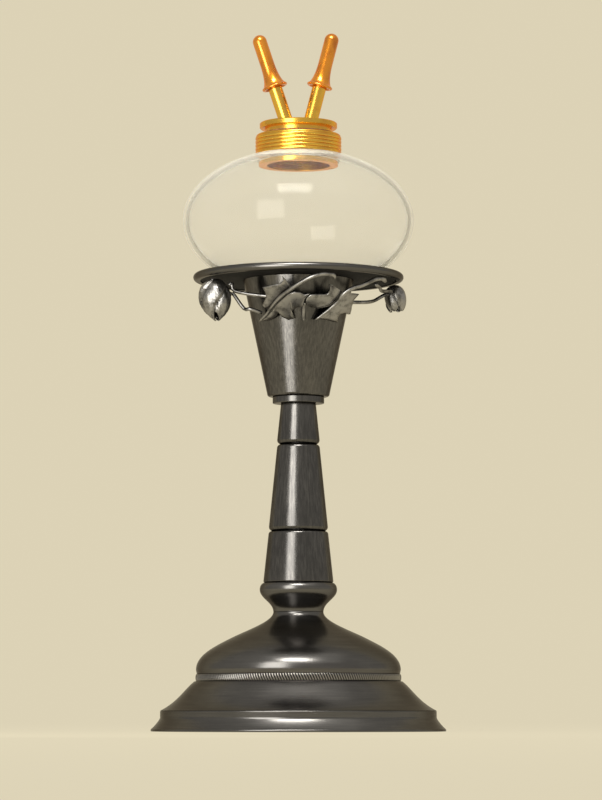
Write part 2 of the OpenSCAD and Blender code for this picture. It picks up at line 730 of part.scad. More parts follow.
module wick(side, lean) {
    low = -tube_root_l - wick_tail_l;
    top = tube_bare_l + tube_in_cap_l + wick_out_l;
    color(cotton) along_tube(side, lean) translate([0, 0, low]) cylinder(h = top - low, d = wick_d);
}

module left_wick() {
    wick(-1, left_lean);
}

module right_wick() {
    wick(1, right_lean);
}

// Snuffer cap: rolled lip, flared mouth, slim body and round end
module cap(side, lean) {
    lip_r = 0.65;
    lip_turn = 70;
    mouth_r = cap_mouth_d / 2;
    body_r = cap_d / 2;
    in_r = body_r - cap_wall;
    end_z = cap_l - body_r;
    flare_l = 10.5;
    mouth_step = 0.5;
    mouth_pull = [-1.2, 1];
    inner_mouth_pull = [-0.6, 1.4];
    body_pull = [0.1, -4.725];
    inner_body_pull = [0.05, -5.25];
    color(cap_brass) along_tube(side, lean) translate([0, 0, tube_bare_l]) rotate_extrude() polygon(concat(
        [[mouth_r - 2 * lip_r, 0]], arc([mouth_r - lip_r, lip_r], lip_r, lip_r, -90, lip_turn),
        bow([mouth_r - mouth_step, 2 * lip_r], mouth_pull, body_pull, [body_r, flare_l]),
        arc([0, end_z], body_r, body_r, 0, 90), reversed(arc([0, end_z], in_r, in_r, 0, 90)),
        reversed(bow([mouth_r - 2 * lip_r, 0], inner_mouth_pull, inner_body_pull, [in_r, flare_l]))));
}

module left_cap() {
    cap(-1, left_lean);
}

module right_cap() {
    cap(1, right_lean);
}

module left_vine() {
    color(leaf_metal) vine(left_vine_route);
}

module right_vine() {
    color(leaf_metal) vine(right_vine_route);
}

module back_vine() {
    color(leaf_metal) rotate([0, 0, back_turn]) vine(right_vine_route);
}

module left_upper_leaf() {
    color(leaf_metal) leaf(left_upper_a, left_upper_b);
}

module left_lower_leaf() {
    color(leaf_metal) leaf(left_lower_a, left_lower_b);
}

module middle_leaf() {
    color(leaf_metal) leaf(middle_a, middle_b);
}

module right_leaf() {
    color(leaf_metal) leaf(right_a, right_b);
}

module back_left_leaf() {
    color(leaf_metal) rotate([0, 0, back_turn]) leaf(middle_a, middle_b);
}

module back_right_leaf() {
    color(leaf_metal) rotate([0, 0, back_turn]) leaf(right_a, right_b);
}

module leaf_stalk() {
    color(leaf_metal) stalk(leaf_stalk_route);
}

module left_bud() {
    color(leaf_metal) hang(left_bud_place) bud(left_bud_form);
}

module right_bud() {
    color(leaf_metal) hang(right_bud_place) bud(right_bud_form);
}

module left_bud_upper_stalk() {
    color(leaf_metal) stalk(left_upper_stalk_route,
        stalk_end(left_bud_form, left_bud_place, left_upper_seat));
}

module left_bud_lower_stalk() {
    color(leaf_metal) stalk(left_lower_stalk_route,
        stalk_end(left_bud_form, left_bud_place, left_lower_seat));
}

module right_bud_upper_stalk() {
    color(leaf_metal) stalk(right_upper_stalk_route,
        stalk_end(right_bud_form, right_bud_place, right_upper_seat));
}

module right_bud_lower_stalk() {
    color(leaf_metal) stalk(right_lower_stalk_route,
        stalk_end(right_bud_form, right_bud_place, right_lower_seat));
}

foot_rim();
base_skirt();
rope_band();
base_dome();
neck_bead();
lower_stem();
middle_stem();
upper_stem();
socket_ring();
socket_cup();
tie_rod();
rod_top_washer();
rod_top_nut();
rod_bottom_washer();
rod_bottom_nut();
tray_plate();
tray_rim();
glass_font();
peg_cement();
collar();
collar_cement();
burner_washer();
burner_plate();
left_wick_tube();
right_wick_tube();
left_wick();
right_wick();
left_cap();
right_cap();
left_vine();
right_vine();
back_vine();
left_upper_leaf();
left_lower_leaf();
middle_leaf();
right_leaf();
back_left_leaf();
back_right_leaf();
leaf_stalk();
left_bud();
right_bud();
left_bud_upper_stalk();
left_bud_lower_stalk();
right_bud_upper_stalk();
right_bud_lower_stalk();
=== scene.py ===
"""Camphene lamp: surfaces, finishes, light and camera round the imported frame.

All lengths in outlines are millimetres, and every mesh is written in metres. An angle round the lamp
is counted from its front, which is -Y, towards +X.
"""

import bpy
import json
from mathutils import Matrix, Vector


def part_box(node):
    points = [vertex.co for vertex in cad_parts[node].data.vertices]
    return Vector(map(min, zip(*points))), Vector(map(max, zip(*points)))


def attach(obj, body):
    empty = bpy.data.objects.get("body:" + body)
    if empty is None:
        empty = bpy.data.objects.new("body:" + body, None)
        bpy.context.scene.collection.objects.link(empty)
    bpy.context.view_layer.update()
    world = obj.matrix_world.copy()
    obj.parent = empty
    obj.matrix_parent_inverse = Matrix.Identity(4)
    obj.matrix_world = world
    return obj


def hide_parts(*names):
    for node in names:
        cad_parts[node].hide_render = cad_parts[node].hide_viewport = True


bl_info = {
    "name": "Camphene lamp",
    "version": (1, 0, 0),
    "blender": (4, 5, 0),
    "location": "3D View > Sidebar > Lamp",
    "description": "Dresses the lamp's frame with turned metal, glass, brass and a leafy wreath",
    "category": "Object",
}

import json
import math

import bmesh
import bpy
import numpy as np
from bpy.props import FloatProperty, FloatVectorProperty, IntProperty, PointerProperty

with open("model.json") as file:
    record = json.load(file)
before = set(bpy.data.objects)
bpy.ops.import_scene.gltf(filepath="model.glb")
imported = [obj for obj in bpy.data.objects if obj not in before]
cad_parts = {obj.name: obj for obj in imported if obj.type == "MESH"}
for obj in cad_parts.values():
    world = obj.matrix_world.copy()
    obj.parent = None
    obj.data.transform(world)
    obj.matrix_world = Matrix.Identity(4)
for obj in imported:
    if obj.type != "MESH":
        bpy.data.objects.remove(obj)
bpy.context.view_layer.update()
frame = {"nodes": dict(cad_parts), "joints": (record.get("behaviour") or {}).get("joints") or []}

MM = 0.001
# Half turns of phase that a strand of the rope moulding leans by, from its middle to its edge.
ROPE_LEAN = 1.15


def reach(node):
    """Outer radius of a turned node, in millimetres."""
    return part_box(node)[1].x / MM


def low(node):
    """Height of a node's lowest point, in millimetres."""
    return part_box(node)[0].z / MM


def high(node):
    """Height of a node's highest point, in millimetres."""
    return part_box(node)[1].z / MM


def colour(name, description, default):
    """A colour that a user may change."""
    return FloatVectorProperty(name=name, description=description, default=default, subtype="COLOR",
                               min=0, max=1)


def length(name, description, default):
    """A length that a user may change, given in millimetres."""
    return FloatProperty(name=name, description=description, default=default * MM, min=0, unit="LENGTH")


class LampShape(bpy.types.PropertyGroup):
    """Sizes of the details that the frame doesn't hold."""

    around: IntProperty(name="Facets around", description="Facets round each turned piece",
                        default=192, min=48, max=384)
    edge: length("Edge round", "Rounding of the castings' edges", 0.35)
    brass_edge: length("Brass edge round", "Rounding of the brass pieces' edges", 0.16)
    rod_bore: length("Rod bore", "Radius of the bore for the tie rod", 3.1)
    strands: IntProperty(name="Rope strands", description="Slanted flutes round the rope moulding",
                         default=236, min=60)
    strand_depth: length("Strand depth", "Depth of the rope moulding's flutes", 0.42)
    glass_wall: length("Glass wall", "Wall of the font", 2.6)


class LampColours(bpy.types.PropertyGroup):
    """Colours of the finishes."""

    dark: colour("Dark metal", "Patina of the stand", (0.088, 0.086, 0.085))
    dark_worn: colour("Worn metal", "Stand where it is rubbed", (0.16, 0.155, 0.15))
    leaf: colour("Leaf metal", "Face of the leaves and buds", (0.36, 0.355, 0.35))
    leaf_shade: colour("Leaf shade", "Leaves where dirt has settled", (0.075, 0.073, 0.072))
    brass: colour("Brass", "Collar, burner and tubes", (0.84, 0.5, 0.065))
    brass_deep: colour("Deep brass", "Brass where its lacquer has aged", (0.68, 0.27, 0.04))
    cap: colour("Cap brass", "Lacquered caps", (0.8, 0.3, 0.022))
    cap_deep: colour("Deep cap brass", "Caps where the lacquer is thick", (0.52, 0.145, 0.012))
    iron: colour("Iron", "Tie rod, nuts and washers", (0.22, 0.21, 0.2))
    plaster: colour("Plaster", "Cement round the peg and under the collar", (0.82, 0.79, 0.7))
    leather: colour("Leather", "Washer under the burner", (0.2, 0.085, 0.035))
    cotton: colour("Cotton", "Wicks", (0.83, 0.78, 0.66))
    backdrop: colour("Backdrop", "Floor and backdrop", (0.745, 0.672, 0.491))


class LampStage(bpy.types.PropertyGroup):
    """Camera and lights."""

    distance: FloatProperty(name="Camera distance", description="From the lamp's axis",
                            default=1.6, unit="LENGTH")
    eye: FloatProperty(name="Camera height", description="Above the floor", default=0.008, unit="LENGTH")
    tilt: FloatProperty(name="Camera tilt", description="Upwards",
                        default=math.radians(4.9016), subtype="ANGLE")
    lens: FloatProperty(name="Focal length", description="In millimetres", default=164.244, min=20)
    strip_power: FloatProperty(name="Strip light", description="Power of the tall strip light",
                               default=1.25, min=0)
    key_power: FloatProperty(name="Key light", description="Power of the high soft box", default=10.0, min=0)
    fill_power: FloatProperty(name="Fill light", description="Power of the wide overhead box",
                              default=5.0, min=0)
    ambient: FloatProperty(name="Ambient", description="Strength of the even light all round",
                           default=0.5, min=0)


class Flow:
    """A shader socket that takes part in Python arithmetic: each operator adds one Math node."""

    def __init__(self, paint, socket):
        self.paint = paint
        self.socket = socket

    def _math(self, operation, first, second=0.0):
        return self.paint.node("ShaderNodeMath", {"operation": operation}, {0: first, 1: second})

    def __add__(self, other):
        return self._math("ADD", self, other)

    __radd__ = __add__

    def __sub__(self, other):
        return self._math("SUBTRACT", self, other)

    def __rsub__(self, other):
        return self._math("SUBTRACT", other, self)

    def __mul__(self, other):
        return self._math("MULTIPLY", self, other)

    __rmul__ = __mul__

    def __pow__(self, power):
        return self._math("POWER", self, power)

    def rise(self, start, end):
        """0 below start and 1 above end, with a smooth step between them."""
        return self.paint.node("ShaderNodeMapRange", {"interpolation_type": "SMOOTHSTEP"},
                               {"Value": self, "From Min": start, "From Max": end})


class Paint:
    """A material under construction round one Principled shader."""

    def __init__(self, name, **fixed):
        self.material = bpy.data.materials.new(name)
        self.material.use_nodes = True
        self.tree = self.material.node_tree
        self.shader = self.tree.nodes["Principled BSDF"]
        self.place = self.node("ShaderNodeTexCoord", out="Object")
        for socket, value in fixed.items():
            self.set(socket.replace("_", " ").title().replace("Ior", "IOR"), value)

    def node(self, kind, settings=(), inputs=(), out=0):
        """Adds a node: its settings first, then the values or links of its sockets. Gives one output."""
        made = self.tree.nodes.new(kind)
        for key, value in dict(settings).items():
            setattr(made, key, value)
        for key, value in dict(inputs).items():
            self.join(made.inputs[key], value)
        return Flow(self, made.outputs[out])

    def join(self, socket, value):
        """Links a flow to a socket, or sets the socket's own value."""
        if isinstance(value, Flow):
            self.tree.links.new(value.socket, socket)
        else:
            socket.default_value = value

    def set(self, socket, value):
        """Sets or links a socket of the Principled shader."""
        self.join(self.shader.inputs[socket], value)

    def mix(self, factor, first, second, blend="MIX"):
        """Mixes two colours by a factor."""
        ends = [(*end, 1) if isinstance(end, tuple) else end for end in (first, second)]
        return self.node("ShaderNodeMix", {"data_type": "RGBA", "blend_type": blend},
                         {0: factor, 6: ends[0], 7: ends[1]}, out=2)

    def stretched(self, scale):
        """Object coordinates, stretched by three factors."""
        return self.node("ShaderNodeMapping", inputs={"Vector": self.place, "Scale": scale})

    def noise(self, scale, stretch=(1, 1, 1), detail=3.0, rough=0.5):
        """Noise with features of about 1 / scale metres, from 0 to 1."""
        return self.node("ShaderNodeTexNoise", inputs={"Vector": self.stretched(stretch), "Scale": scale,
                                                       "Detail": detail, "Roughness": rough})

    def bump(self, height, distance, strength=1.0):
        """Feeds a height to the shader's normal."""
        self.set("Normal", self.node("ShaderNodeBump", inputs={"Height": height, "Distance": distance,
                                                               "Strength": strength}))


def colours():
    """The colours chosen in the sidebar, each as a tuple."""
    chosen = bpy.context.scene.lamp_colours
    return {key: tuple(getattr(chosen, key)) for key in LampColours.__annotations__}


def dark_metal():
    """Dark patina with fine upright brush streaks, a soft grain, and rubbed patches."""
    tone = colours()
    paint = Paint("Patinated dark metal", metallic=1.0, specular_tint=(0.42, 0.4, 0.38, 1))
    streak = paint.noise(1500, (1, 1, 0.035), 2.0, 0.6)
    grain = paint.noise(2600, detail=2.0, rough=0.7)
    patch = paint.noise(55, (1, 1, 0.6), 3.0, 0.55)
    worn = (streak * 0.55 + grain * 0.25 + patch * 0.4).rise(0.48, 0.82)
    paint.set("Base Color", paint.mix(worn, tone["dark"], tone["dark_worn"]))
    paint.set("Roughness", streak * 0.07 + patch * 0.05 + 0.16)
    paint.bump(streak * 0.6 + grain * 0.4, 0.00002, 0.4)
    return paint.material


def turned_metal():
    """The same patina with fine marks round the piece, as on the turned base."""
    tone = colours()
    paint = Paint("Turned dark metal", metallic=1.0, specular_tint=(0.42, 0.4, 0.38, 1))
    rings = paint.noise(1800, (0.03, 0.03, 1), 2.0, 0.6)
    grain = paint.noise(2400, detail=2.0, rough=0.7)
    patch = paint.noise(48, (1, 1, 1.6), 3.0, 0.55)
    worn = (rings * 0.45 + grain * 0.4 + patch * 0.4).rise(0.5, 0.86)
    rubbed = tuple(1.35 * x for x in tone["dark"])
    paint.set("Base Color", paint.mix(worn, rubbed, tone["dark_worn"]))
    paint.set("Roughness", rings * 0.06 + patch * 0.06 + 0.19)
    paint.bump(rings * 0.5 + grain * 0.5, 0.00002, 0.4)
    return paint.material


def rope_metal():
    """The turned patina, with a painted highlight on the rope moulding's crests and painted shade in its
    flutes.
    The mask is the flutes' own cosine, of the angle round the lamp and the height."""
    tone = colours()
    paint = Paint("Fluted dark metal", metallic=1.0, specular_tint=(0.5, 0.48, 0.45, 1))
    x, y, z = (paint.node("ShaderNodeSeparateXYZ", inputs={0: paint.place}, out=k) for k in range(3))
    bottom, top = low("rope_band") * MM, high("rope_band") * MM
    height = (z - (bottom + top) / 2) * (2 / (top - bottom))
    angle = x._math("ARCTAN2", x, y * -1)
    phase = angle * bpy.context.scene.lamp_shape.strands + height * (ROPE_LEAN * math.pi)
    # Mask of painted light: 1 on the crests, which get a painted highlight, and 0 in the flutes, which get
    # painted shade.
    crest = (phase._math("COSINE", phase) * 0.5 + 0.5).rise(0.3, 0.8)
    grain = paint.noise(2400, detail=2.0, rough=0.7)
    # Painted shade for the flutes, at a quarter of the patina, and a painted highlight for the crests, well
    # above the rubbed metal.
    dark = tuple(0.25 * x for x in tone["dark"])
    painted_crest_highlight = tuple(2.4 * x for x in tone["dark_worn"])
    paint.set("Base Color", paint.mix(crest * (grain * 0.4 + 0.7), dark, painted_crest_highlight))
    paint.set("Roughness", grain * 0.1 + 0.2)
    return paint.material


def underside_shade_metal():
    """Matte, almost black metal that paints the shade under the tray, with faint rubbed clouds."""
    tone = colours()
    paint = Paint("Sooted dark metal", metallic=0.0, specular_ior_level=0.04)
    cloud = paint.noise(90, detail=4.0, rough=0.6)
    grain = paint.noise(2400, detail=2.0, rough=0.7)
    # Painted shade: a quarter of the patina's colour stands for the shade that falls under the tray.
    soot_and_shade = tuple(0.25 * x for x in tone["dark"])
    paint.set("Base Color", paint.mix((cloud * 0.7 + grain * 0.3).rise(0.45, 0.8) * 0.6, soot_and_shade, tone["dark"]))
    paint.set("Roughness", cloud * 0.2 + 0.7)
    paint.bump(grain, 0.00003, 0.4)
    return paint.material


def leaf_metal():
    """Rubbed grey metal with darker dirt in patches and a fine hand-worked grain."""
    tone = colours()
    paint = Paint("Rubbed leaf metal", metallic=1.0, specular_tint=(0.6, 0.57, 0.52, 1))
    grain = paint.noise(1900, detail=3.0, rough=0.65)
    patch = paint.noise(240, detail=3.0, rough=0.6)
    dirt = (patch * 0.75 + grain * 0.35).rise(0.62, 0.4)
    paint.set("Base Color", paint.mix(dirt * 0.75, tone["leaf"], tone["leaf_shade"]))
    paint.set("Roughness", patch * 0.16 + grain * 0.06 + 0.24)
    paint.bump(grain * 0.5 + patch * 0.5, 0.00005, 0.6)
    return paint.material


def brass_finish():
    """Lacquered brass that has turned orange in patches, with fine marks round it."""
    tone = colours()
    paint = Paint("Lacquered brass", metallic=1.0, specular_tint=(1.0, 0.5, 0.16, 1), coat_weight=0.5,
                  coat_roughness=0.12)
    rings = paint.noise(2200, (0.04, 0.04, 1), 2.0, 0.6)
    patch = paint.noise(130, detail=3.0, rough=0.55)
    aged = (patch * 0.8 + rings * 0.3).rise(0.5, 0.82)
    paint.set("Base Color", paint.mix(aged * 0.7, tone["brass"], tone["brass_deep"]))
    paint.set("Roughness", rings * 0.12 + patch * 0.08 + 0.16)
    paint.bump(rings, 0.00002, 0.4)
    return paint.material


def cap_finish():
    """Deep amber lacquer over brass, thicker in patches."""
    tone = colours()
    paint = Paint("Amber lacquered brass", metallic=0.85, specular_tint=(1.0, 0.42, 0.1, 1), coat_weight=0.8,
                  coat_roughness=0.08)
    cloud = paint.noise(210, (1, 1, 0.5), 3.0, 0.55)
    grain = paint.noise(2600, detail=2.0)
    paint.set("Base Color", paint.mix(cloud.rise(0.4, 0.72), tone["cap"], tone["cap_deep"]))
    paint.set("Roughness", cloud * 0.12 + 0.2)
    paint.bump(grain * 0.5 + cloud * 0.5, 0.00003, 0.4)
    return paint.material


def iron_finish():
    """Plain drawn iron with light rust."""
    tone = colours()
    paint = Paint("Drawn iron", metallic=1.0)
    streak = paint.noise(1400, (1, 1, 0.05))
    rust = paint.noise(260, detail=5.0, rough=0.65).rise(0.56, 0.7)
    paint.set("Base Color", paint.mix(rust * 0.7, tone["iron"], (0.16, 0.07, 0.03)))
    paint.set("Metallic", 1 - rust * 0.7)
    paint.set("Roughness", streak * 0.2 + rust * 0.3 + 0.28)
    paint.bump(streak * 0.4 + rust * 0.6, 0.00006, 0.5)
    return paint.material


def plaster_finish():
    """Matte plaster with pores."""
    tone = colours()
    paint = Paint("Old plaster", roughness=0.9)
    pores = paint.noise(900, detail=5.0, rough=0.7)
    stain = paint.noise(90, detail=3.0)
    paint.set("Base Color", paint.mix(stain.rise(0.4, 0.75) * 0.6, tone["plaster"], (0.55, 0.47, 0.33)))
    paint.bump(pores, 0.0002, 0.7)
    return paint.material


def leather_finish():
    """Waxed leather with a fine grain."""
    tone = colours()
    paint = Paint("Waxed leather")
    cells = paint.node("ShaderNodeTexVoronoi", {"feature": "DISTANCE_TO_EDGE"},
                       {"Vector": paint.place, "Scale": 1700.0}, out="Distance")
    wear = paint.noise(420, detail=4.0)
    paint.set("Base Color", paint.mix(wear.rise(0.4, 0.7), tone["leather"], (0.34, 0.16, 0.07)))
    paint.set("Roughness", wear * 0.3 + 0.4)
    paint.bump(cells.rise(0.0, 0.12), 0.0001, 0.8)
    return paint.material


def cotton_finish():
    """Undyed cotton, with lint and a little soot."""
    tone = colours()
    paint = Paint("Braided cotton", roughness=0.95)
    lint = paint.noise(5200, detail=3.0)
    soot_and_shade = paint.noise(420, detail=4.0).rise(0.55, 0.78)
    paint.set("Base Color", paint.mix(soot_and_shade * 0.6, tone["cotton"], (0.2, 0.16, 0.12)))
    paint.bump(lint, 0.0001, 0.8)
    return paint.material


def glass_finish():
    """Thin clear glass that hardly bends what is behind it, with a pale veil that thickens at its edge."""
    paint = Paint("Clear blown glass", base_color=(1, 1, 1, 1), transmission_weight=1.0, ior=1.03,
                  roughness=0.0, coat_weight=0.2, coat_roughness=0.03, coat_ior=1.5)
    facing = paint.node("ShaderNodeLayerWeight", inputs={"Blend": 0.5}, out="Facing")
    swirl = paint.noise(26, (1, 1, 0.5), 2.0, 0.5)
    veil = paint.node("ShaderNodeBsdfPrincipled",
                      inputs={"Base Color": (0.86, 0.86, 0.83, 1), "Roughness": 0.5})
    cover = facing ** 6.0 * 0.4 + swirl * 0.03 + 0.012
    both = paint.node("ShaderNodeMixShader", inputs={0: cover})
    output = paint.tree.nodes["Material Output"]
    paint.tree.links.new(paint.shader.outputs[0], both.socket.node.inputs[1])
    paint.tree.links.new(veil.socket, both.socket.node.inputs[2])
    paint.tree.links.new(both.socket, output.inputs["Surface"])
    return paint.material


FINISHES = {
    "dark_metal": dark_metal,
    "turned_metal": turned_metal,
    "rope_metal": rope_metal,
    "underside_shade_metal": underside_shade_metal,
    "leaf_metal": leaf_metal,
    "brass": brass_finish,
    "cap_brass": cap_finish,
    "iron": iron_finish,
    "plaster": plaster_finish,
    "leather": leather_finish,
    "cotton": cotton_finish,
    "glass": glass_finish,
}
made_finishes = {}


def finish_of(name):
    """The material of a finish, made when it is first asked for."""
    if name not in made_finishes:
        made_finishes[name] = FINISHES[name]()
    return made_finishes[name]


def bow(start, start_pull, end_pull, end, count=28):
    """Cubic curve in a plane from start to end, drawn out of each end by a pull."""
    a, b = np.array(start, float), np.array(end, float)
    t = np.linspace(0, 1, count)[:, None]
    return ((1 - t) ** 3 * a + 3 * t * (1 - t) ** 2 * (a + start_pull)
            + 3 * t * t * (1 - t) * (b + end_pull) + t**3 * b)


def arc(centre, across, up, start, end, count=14):
    """Part of an ellipse about a centre, from one angle to another, in degrees."""
    a = np.radians(np.linspace(start, end, count))
    return np.column_stack([centre[0] + across * np.cos(a), centre[1] + up * np.sin(a)])


def soften(outline, size, sharp=22.0, steps=5, hold=0.05):
    """Closed outline whose corners are rounded: each corner sharper than `sharp` degrees becomes a parabola
    that leaves its two sides `size` away from it. A point is held just past each end of the parabola, so that
    the shading of a flat side stays flat."""
    here = np.asarray(outline, float)
    here = here[np.linalg.norm(here - np.roll(here, 1, 0), axis=1) > 1e-6]
    ahead = np.roll(here, -1, 0) - here
    behind = np.roll(ahead, 1, 0)
    cross = behind[:, 0] * ahead[:, 1] - behind[:, 1] * ahead[:, 0]
    corners = np.flatnonzero(np.degrees(np.abs(np.arctan2(cross, (behind * ahead).sum(1)))) > sharp)
    here = np.roll(here, -corners[0], 0)
    ends = np.append(corners - corners[0], len(here))
    closed = np.vstack([here, here[:1]])
    along = np.concatenate([[0], np.cumsum(np.linalg.norm(np.diff(closed, axis=0), axis=1))])
    sides = along[ends[1:]] - along[ends[:-1]]
    cut = np.minimum(size, 0.4 * np.minimum(sides, np.roll(sides, 1)))

    def spots(s):
        return np.column_stack([np.interp(s, along, closed[:, k]) for k in (0, 1)])

    t = np.linspace(0, 1, steps + 1)[1:-1, None]
    pieces = []
    for k, (start, end) in enumerate(zip(ends[:-1], ends[1:])):
        after = (k + 1) % len(cut)
        first, last = along[start] + cut[k], along[end] - cut[after]
        inner = along[(along > first) & (along < last)]
        held = [first, min(first + hold, last), max(last - hold, first), last]
        pieces.append(spots(np.unique(np.round(np.concatenate([held, inner]), 5))))
        next_first = spots([along[ends[after]] + cut[after]])
        pieces.append((1 - t) ** 2 * spots([last]) + 2 * t * (1 - t) * closed[end] + t * t * next_first)
    return np.vstack(pieces)


def skin(name, points, around=True, closed=True):
    """Mesh over a grid of points (rows, columns, 3) in metres. Rows wrap round when `around`, and columns
    when `closed`. Points that fall together, as at a pole, are merged. The skin faces outwards."""
    rows, columns = points.shape[:2]
    flat, back = np.unique(np.round(points.reshape(-1, 3), 8), axis=0, return_inverse=True)
    ids = back.reshape(rows, columns)
    i, j = np.meshgrid(np.arange(rows - (not around)), np.arange(columns - (not closed)), indexing="ij")
    after_i, after_j = (i + 1) % rows, (j + 1) % columns
    quads = np.stack([ids[i, j], ids[after_i, j], ids[after_i, after_j], ids[i, after_j]], -1).reshape(-1, 4)
    a, b, c, d = (flat[quads[:, k]] for k in range(4))
    volume = (a * np.cross(b, c) + a * np.cross(c, d)).sum()
    if volume < 0:
        quads = quads[:, ::-1]
    faces = quads.tolist()
    doubled = (quads == np.roll(quads, 1, 1)).any(1)
    for k in np.flatnonzero(doubled):
        faces[k] = list(dict.fromkeys(faces[k]))
    mesh = bpy.data.meshes.new(name)
    mesh.from_pydata(flat.tolist(), [], [face for face in faces if len(face) > 2])
    mesh.shade_smooth()
    mesh.update()
    return mesh


def turned(outline, facets=None, ripple=None):
    """Grid of an outline (radius, height) turned about the lamp's axis: x = r sin a, y = -r cos a. A ripple
    adds a height to the radius, as a function of the angle and the height."""
    facets = facets or bpy.context.scene.lamp_shape.around
    a = np.linspace(0, 2 * math.pi, facets, endpoint=False)[:, None]
    r, z = outline[None, :, 0] * MM, outline[None, :, 1] * MM
    if ripple is not None:
        r = r + ripple(a, z)
    return np.stack([r * np.sin(a), -r * np.cos(a), z + 0 * a], -1)


def dress(name, mesh, finish, slot, body, *nodes):
    """Puts a mesh in the scene with its finish, on its body, in place of the frame's nodes."""
    piece = bpy.data.objects.new(name, mesh)
    bpy.context.scene.collection.objects.link(piece)
    mesh.materials.append(finish_of(finish))
    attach(piece, body)
    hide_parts(*nodes)
    return piece


def lathe(node, outline, finish, slot, body="stand", edge=None, **options):
    """A turned piece that stands for the node of the same name, with rounded edges."""
    edge = bpy.context.scene.lamp_shape.edge / MM if edge is None else edge
    mesh = skin(node + "_turned", turned(soften(outline, edge), **options))
    return dress(node + "_turned", mesh, finish, slot, body, node)


def repaint(finish, *nodes):
    """Gives the frame's own nodes a finish."""
    for node in nodes:
        for slot in frame["nodes"][node].material_slots:
            slot.material = finish_of(finish)


class LampOperator(bpy.types.Operator):
    """What the lamp's operators share."""

    bl_options = {"REGISTER", "UNDO"}

    def execute(self, context):
        self.make(context)
        return {"FINISHED"}


class LAMP_OT_foot(LampOperator):
    """Make the stepped foot and the swept skirt above it"""

    bl_idname = "lamp.foot"
    bl_label = "Foot and skirt"

    def make(self, context):
        foot, ledge, wall = reach("foot_rim"), reach("base_skirt"), 5.0
        flare_h, toe = 5.8, 0.9
        top = high("foot_rim")
        lathe("foot_rim", np.vstack([
            [[ledge - wall, 0], [foot, 0]],
            bow([foot, toe], [-1.2, 0.9], [0.7, -1.5], [ledge, flare_h]),
            [[ledge, top], [ledge - wall, top]]]), "turned_metal", "dark_metal", edge=0.5)
        rope_low, rope_high = low("rope_band"), high("rope_band")
        skirt_top, spigot, inner = 45.4, reach("rope_band") - 1.3, reach("rope_band") - 4.3
        lathe("base_skirt", np.vstack([
            bow([ledge, top], [-8, 4], [4.2, -3.1], [skirt_top, rope_low], 48),
            [[spigot, rope_low], [spigot, rope_high], [inner, rope_high]],
            bow([inner, rope_low], [2.5, -3.6], [-6, 2.6], [ledge - wall, top])]),
            "turned_metal", "dark_metal", edge=0.25)


class LAMP_OT_rope(LampOperator):
    """Make the thin rope moulding with its slanted flutes"""

    bl_idname = "lamp.rope"
    bl_label = "Rope moulding"

    def make(self, context):
        shape = context.scene.lamp_shape
        r, bottom, top = reach("rope_band"), low("rope_band"), high("rope_band")
        middle, half, edge = (bottom + top) / 2, (top - bottom) / 2, 0.45
        bore = r - 1.25
        outline = np.vstack([
            [[bore, bottom]], arc([r - edge, middle], edge, half, -90, 90, 18), [[bore, top]]])

        def flutes(a, z):
            """Cosine flutes that lean with height and fade out at the inner wall and the two edges."""
            from_middle = (z / MM - middle) / half
            fade = np.clip(1 - from_middle**2, 0, 1) ** 0.5
            wave = np.cos(shape.strands * a + ROPE_LEAN * math.pi * from_middle)
            return -shape.strand_depth * fade * (0.5 - 0.5 * wave) * (outline[None, :, 0] > bore + 0.2)

        mesh = skin("rope_band_fluted", turned(outline, shape.strands * 6, flutes))
        dress("rope_band_fluted", mesh, "rope_metal", "dark_metal", "stand", "rope_band")


class LAMP_OT_dome(LampOperator):
    """Make the dome with its sweep up to the neck, and the bead on it"""

    bl_idname = "lamp.dome"
    bl_label = "Dome and bead"

    def make(self, context):
        bore = context.scene.lamp_shape.rod_bore / MM
        r, bottom, neck_z = reach("base_dome"), low("base_dome"), high("base_dome")
        neck, wall, boss_z, boss = 11.0, 3.0, neck_z - 11, 9.5
        bend = np.array([r * 0.656, neck_z - 11.4])
        pull = np.array([8.0, -4.0])
        lathe("base_dome", np.vstack([
            [[r - 0.4, bottom]], bow([r, bottom + 1.8], [0, 6.3], pull, bend, 40),
            bow(bend, -0.9 * pull, [0, -4.1], [neck, neck_z], 40),
            [[bore, neck_z], [bore, boss_z], [boss, boss_z]],
            [[bend[0] - wall - 1.6, boss_z - 1.6]],
            bow(bend - [1.5, 2.6], 0.9 * pull, [0, 5.5], [r - wall, bottom + 1.8]), [[r - wall, bottom]]]),
            "turned_metal", "dark_metal")
        bead, top = reach("neck_bead"), high("neck_bead")
        crest = np.array([bead, top - 3.1])
        rise = np.array([0, crest[1] - neck_z])
        lathe("neck_bead", np.vstack([
            bow([neck, neck_z], rise * 0.43, rise * -0.4, crest, 36),
            bow(crest, [0, 1.8], [1.1, -0.3], [bead - 2, top], 20), [[bore, top], [bore, neck_z]]]),
            "turned_metal", "dark_metal", edge=0.12)


class LAMP_OT_stem(LampOperator):
    """Make the three tapered sections of the stem and the ring above them"""

    bl_idname = "lamp.stem"
    bl_label = "Stem"

    def section(self, node, bottom_r, top_r, bottom_round, top_round):
        """A tapered section: a quarter round at its foot, a straight side and a quarter round at its top."""
        bore, z, top = bpy.context.scene.lamp_shape.rod_bore / MM, low(node), high(node)
        lathe(node, np.vstack([
            arc([bottom_r - bottom_round, z + bottom_round], bottom_round, bottom_round, -90, 0, 16),
            arc([top_r - top_round, top - top_round], top_round, top_round, 0, 90, 16),
            [[bore, top], [bore, z]]]), "dark_metal", "dark_metal", edge=0.12)

    def make(self, context):
        self.section("lower_stem", 15.35, 13.15, 0.6, 1.4)
        self.section("middle_stem", 12.95, 9.45, 1.9, 1.7)
        self.section("upper_stem", 9.35, 7.7, 1.9, 0.3)
        self.section("socket_ring", 11.35, 11.35, 0.35, 0.35)


